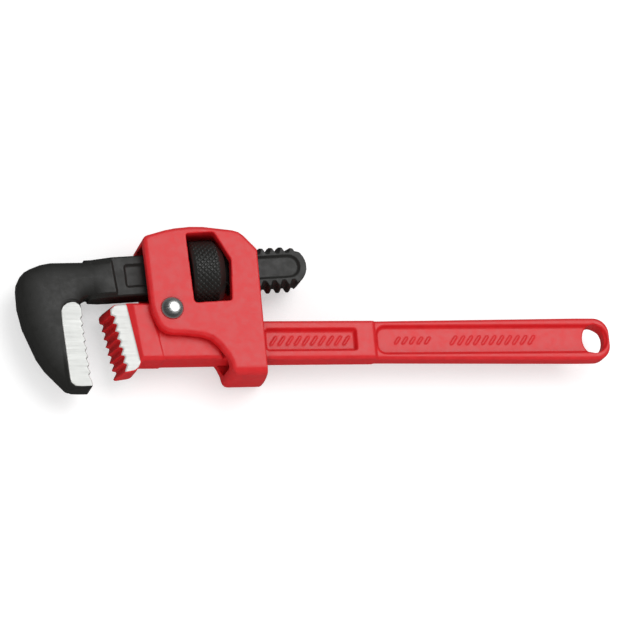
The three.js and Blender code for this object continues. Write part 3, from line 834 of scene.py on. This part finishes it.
def nut_inside(x, angle):
    """Radius of the internal screw thread, in step with the shank's."""
    along = x - NUT_LENGTH / 2
    phase = ((along - NUT_THREAD_PHASE) / THREAD_PITCH - angle / (2 * math.pi)) % 1
    away = np.abs(phase - np.round(phase)) * THREAD_PITCH
    flank = (NUT_THREAD_ROOT - NUT_THREAD_CREST) * math.tan(math.pi / 6)
    flat = 0.677
    share = np.clip((away - flat) / flank, 0, 1)
    return NUT_THREAD_ROOT - (NUT_THREAD_ROOT - NUT_THREAD_CREST) * share


class WRENCH_OT_nut(bpy.types.Operator):
    """Knurled adjusting nut with its internal thread"""

    bl_idname = "wrench.nut"
    bl_label = "Adjusting nut"

    def execute(self, context):
        sizes = context.scene.wrench_sizes
        finishes = context.scene.wrench_finishes
        round_steps, length_steps = 432, 72
        angles = np.arange(round_steps) * 2 * math.pi / round_steps
        stations = np.linspace(0, NUT_LENGTH, length_steps + 1)
        loops = []
        for x in stations:
            loops.append((x, nut_outside(x, angles, sizes.knurl_pitch, sizes.knurl_depth)))
        for x in stations[::-1]:
            loops.append((x, nut_inside(x, angles)))
        matrix = basis(SHANK_DIRECTION, NUT_CENTRE)
        vertices = []
        for x, radii in loops:
            for angle, radius in zip(angles, radii):
                spot = Vector((x - NUT_LENGTH / 2, radius * math.cos(angle), radius * math.sin(angle)))
                vertices.append(matrix @ (spot * MM))
        faces = []
        count = len(loops)
        for i in range(count):
            a, b = i * round_steps, ((i + 1) % count) * round_steps
            for j in range(round_steps):
                n = (j + 1) % round_steps
                faces.append((a + j, a + n, b + n, b + j))
        piece = link("adjusting_nut_knurled", mesh_from("adjusting_nut_knurled", vertices, faces))
        smooth(piece.data)
        material = forged_material(
            "nut_oxide",
            finishes.oxide,
            finishes.bright,
            {"Wave": 0.6, "Grain": 0.2, "Pits": 0.0},
            (0.3, 0.44),
            0.35,
            (0.10, 0.10, 0.10),
            None,
            0.0,
        )
        finish_with(piece, material, "nut_body", "adjusting_nut")
        return {"FINISHED"}


RIVET_RADIUS = 4.4
RIVET_HEAD = 5.8
RIVET_RISE = 2.6


class WRENCH_OT_rivet(bpy.types.Operator):
    """Pivot rivet with two domed, polished heads"""

    bl_idname = "wrench.rivet"
    bl_label = "Pivot rivet"

    def execute(self, context):
        finishes = context.scene.wrench_finishes
        low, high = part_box("pivot_rivet")
        seat = (high.z - low.z) / 2 / MM - RIVET_RISE
        dome = []
        for k in range(15):
            angle = math.pi / 2 * k / 14
            dome.append((seat + RIVET_RISE * math.sin(angle), RIVET_HEAD * math.cos(angle)))
        dome[-1] = (seat + RIVET_RISE, 0.0)
        profile = [(-x, radius) for x, radius in reversed(dome)]
        profile += [(-seat, RIVET_RADIUS), (seat, RIVET_RADIUS)] + dome
        matrix = basis(Vector((0, 0, 1)), Vector((PIVOT.x, PIVOT.y, (low.z + high.z) / 2)))
        piece = turned("pivot_rivet_polished", profile, 64, matrix)
        smooth(piece.data)
        material = steel_material("rivet_steel", finishes.polished, (0.2, 0.32), 0.6)
        finish_with(piece, material, "frame_body", "pivot_rivet")
        return {"FINISHED"}


COIL_WIRE = 0.55
COIL_TURNS = 5
SMALL_VOXEL = 0.2


class WRENCH_OT_springs(bpy.types.Operator):
    """Leaf spring with its rivet, and the coil spring under the handle"""

    bl_idname = "wrench.springs"
    bl_label = "Springs"

    def execute(self, context):
        finishes = context.scene.wrench_finishes
        steel = steel_material("spring_steel", finishes.spring, (0.3, 0.45), 0.2)
        leaf = forged_copy("flat_spring", "flat_spring_leaf", SMALL_VOXEL, relax=1)
        finish_with(leaf, steel, "handle_body", "flat_spring")
        head = forged_copy("flat_spring_rivet", "flat_spring_rivet_set", SMALL_VOXEL, relax=1)
        bright = steel_material("small_rivet_steel", finishes.polished, (0.2, 0.3), 0.0)
        finish_with(head, bright, "handle_body", "flat_spring_rivet")
        low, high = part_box("coil_spring")
        radius = (high.z - low.z) / 2 / MM - COIL_WIRE
        middle = (low + high) / 2
        curve = bpy.data.curves.new("coil_spring_wire", "CURVE")
        curve.dimensions = "3D"
        curve.bevel_depth = COIL_WIRE * MM
        curve.bevel_resolution = 3
        curve.use_fill_caps = True
        spline = curve.splines.new("POLY")
        steps = COIL_TURNS * 28
        spline.points.add(steps)
        start = low.y + COIL_WIRE * MM
        rise = high.y - low.y - 2 * COIL_WIRE * MM
        for k in range(steps + 1):
            angle = 2 * math.pi * COIL_TURNS * k / steps
            spline.points[k].co = (
                middle.x + radius * MM * math.cos(angle),
                start + rise * k / steps,
                middle.z + radius * MM * math.sin(angle),
                1.0,
            )
        shaped = bpy.data.objects.new("coil_shape", curve)
        bpy.context.scene.collection.objects.link(shaped)
        graph = bpy.context.evaluated_depsgraph_get()
        mesh = bpy.data.meshes.new_from_object(shaped.evaluated_get(graph))
        mesh.name = "coil_spring_wound"
        coil = link("coil_spring_wound", mesh)
        bpy.data.objects.remove(shaped)
        bpy.data.curves.remove(curve)
        smooth(mesh)
        mesh.materials.append(steel)
        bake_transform(coil)
        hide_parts("coil_spring")
        return {"FINISHED"}


# ---------------------------------------------------------------- stage

VIEW_BACK = Vector((-0.265, -0.292, 0.919)).normalized()
VIEW_TARGET = (75.87, 1.73)
FLOOR_REACH = 6.0
PAPER_GLOW = 0.42
PAPER_SEEN = (0.68, 0.72)
PAPER_BOUNCE = 0.72
PAPER_REFLECTED = 0.1
ROOM_HORIZON = 0.24
ROOM_TOP = 0.05
LIGHT_DISTANCE = 1.4
SOFTBOX_DIRECTION = (0.30, 0.29, 0.91)
SOFTBOX_SIZE = 1.15
FILL_DIRECTION = (-0.25, -0.85, 0.45)
FILL_SIZE = 0.9


def grey(value):
    return (value, value, value, 1.0)


class WRENCH_OT_stage(bpy.types.Operator):
    """Camera, pale floor and soft light"""

    bl_idname = "wrench.stage"
    bl_label = "Stage"

    def execute(self, context):
        scene = context.scene
        studio = scene.wrench_studio
        target = at(*VIEW_TARGET, 0.0)
        right = (Vector((1, 0, 0)) - VIEW_BACK * VIEW_BACK.x).normalized()
        up = VIEW_BACK.cross(right)
        c, s = math.cos(studio.roll), math.sin(studio.roll)
        right, up = right * c - up * s, right * s + up * c
        camera_data = bpy.data.cameras.new("camera")
        camera_data.sensor_width = 36.0
        camera_data.lens = studio.lens
        camera_data.clip_end = 50.0
        camera = bpy.data.objects.new("camera", camera_data)
        scene.collection.objects.link(camera)
        pose = Matrix((right, up, VIEW_BACK)).transposed().to_4x4()
        pose.translation = target + VIEW_BACK * studio.eye_distance
        camera.matrix_world = pose
        scene.camera = camera

        reach = FLOOR_REACH
        corners = [(-reach, -reach, 0), (reach, -reach, 0), (reach, reach, 0), (-reach, reach, 0)]
        floor = link("floor", mesh_from("floor", corners, [(0, 1, 2, 3)]))
        floor.data.materials.append(self.paper())

        self.softbox("softbox", SOFTBOX_DIRECTION, SOFTBOX_SIZE, studio.softbox_power)
        fill = self.softbox("fill", FILL_DIRECTION, FILL_SIZE, studio.fill_power)
        fill.visible_glossy = False
        scene.world = self.room(studio.ambient)
        scene.view_settings.view_transform = "Standard"
        return {"FINISHED"}

    @staticmethod
    def paper():
        """Matt white paper that throws no glare back onto the tool."""
        material, tree, shader = start_material("floor_paper")
        tone = noise(tree, object_coordinates(tree), 40.0, 3.0)
        ray = tree.nodes.new("ShaderNodeLightPath")
        white = mix_colour(tree, tone, grey(PAPER_SEEN[0]), grey(PAPER_SEEN[1]))
        bounce = mix_colour(tree, ray.outputs["Is Camera Ray"], grey(PAPER_BOUNCE), white)
        shade = mix_colour(tree, ray.outputs["Is Glossy Ray"], bounce, grey(PAPER_REFLECTED))
        tree.links.new(shade, shader.inputs["Base Color"])
        glow = mix_colour(tree, ray.outputs["Is Camera Ray"], grey(0.0), grey(1.0))
        tree.links.new(glow, shader.inputs["Emission Color"])
        shader.inputs["Emission Strength"].default_value = PAPER_GLOW
        shader.inputs["Roughness"].default_value = 0.9
        shader.inputs["Specular IOR Level"].default_value = 0.0
        return material

    @staticmethod
    def room(ambient):
        """Even white light for matt surfaces, and a darker room with a pale horizon in reflections."""
        world = bpy.data.worlds.new("studio")
        world.use_nodes = True
        tree = world.node_tree
        background = tree.nodes["Background"]
        ray = tree.nodes.new("ShaderNodeLightPath")
        direction = tree.nodes.new("ShaderNodeTexCoord").outputs["Generated"]
        split = tree.nodes.new("ShaderNodeSeparateXYZ")
        tree.links.new(direction, split.inputs[0])
        seen = ramp(tree, split.outputs["Z"], 0.0, 0.75, ROOM_HORIZON, ROOM_TOP)
        strength = mix_value(tree, ray.outputs["Is Glossy Ray"], ambient, seen)
        tree.links.new(strength, background.inputs["Strength"])
        background.inputs["Color"].default_value = (1, 1, 1, 1)
        return world

    @staticmethod
    def softbox(name, direction, size, power):
        toward = Vector(direction).normalized()
        data = bpy.data.lights.new(name, "AREA")
        data.shape = "DISK"
        data.size = size
        data.energy = power
        light = bpy.data.objects.new(name, data)
        bpy.context.scene.collection.objects.link(light)
        light.matrix_world = toward.to_track_quat("Z", "Y").to_matrix().to_4x4()
        light.matrix_world.translation = at(75.0, 0.0) + toward * LIGHT_DISTANCE
        return light


class WRENCH_PT_panel(bpy.types.Panel):
    """Lists the wrench's pieces, sizes and finishes"""

    bl_idname = "WRENCH_PT_panel"
    bl_label = "Pipe wrench"
    bl_space_type = "VIEW_3D"
    bl_region_type = "UI"
    bl_category = "Wrench"

    def draw(self, context):
        layout = self.layout
        for operator in OPERATORS:
            layout.operator(operator.bl_idname)
        for settings in (
            context.scene.wrench_sizes,
            context.scene.wrench_finishes,
            context.scene.wrench_studio,
        ):
            column = layout.column()
            for name in settings.__annotations__:
                column.prop(settings, name)


OPERATORS = (
    WRENCH_OT_handle,
    WRENCH_OT_frame,
    WRENCH_OT_hook_jaw,
    WRENCH_OT_nut,
    WRENCH_OT_rivet,
    WRENCH_OT_springs,
    WRENCH_OT_stage,
)
CLASSES = (WrenchSizes, WrenchFinishes, WrenchStudio) + OPERATORS + (WRENCH_PT_panel,)


def register():
    for item in CLASSES:
        bpy.utils.register_class(item)
    bpy.types.Scene.wrench_sizes = bpy.props.PointerProperty(type=WrenchSizes)
    bpy.types.Scene.wrench_finishes = bpy.props.PointerProperty(type=WrenchFinishes)
    bpy.types.Scene.wrench_studio = bpy.props.PointerProperty(type=WrenchStudio)


def unregister():
    del bpy.types.Scene.wrench_studio
    del bpy.types.Scene.wrench_finishes
    del bpy.types.Scene.wrench_sizes
    for item in reversed(CLASSES):
        bpy.utils.unregister_class(item)


def main():
    register()
    for operator in OPERATORS:
        group_name, call = operator.bl_idname.split(".")
        getattr(getattr(bpy.ops, group_name), call)()


if __name__ == "__main__":
    main()
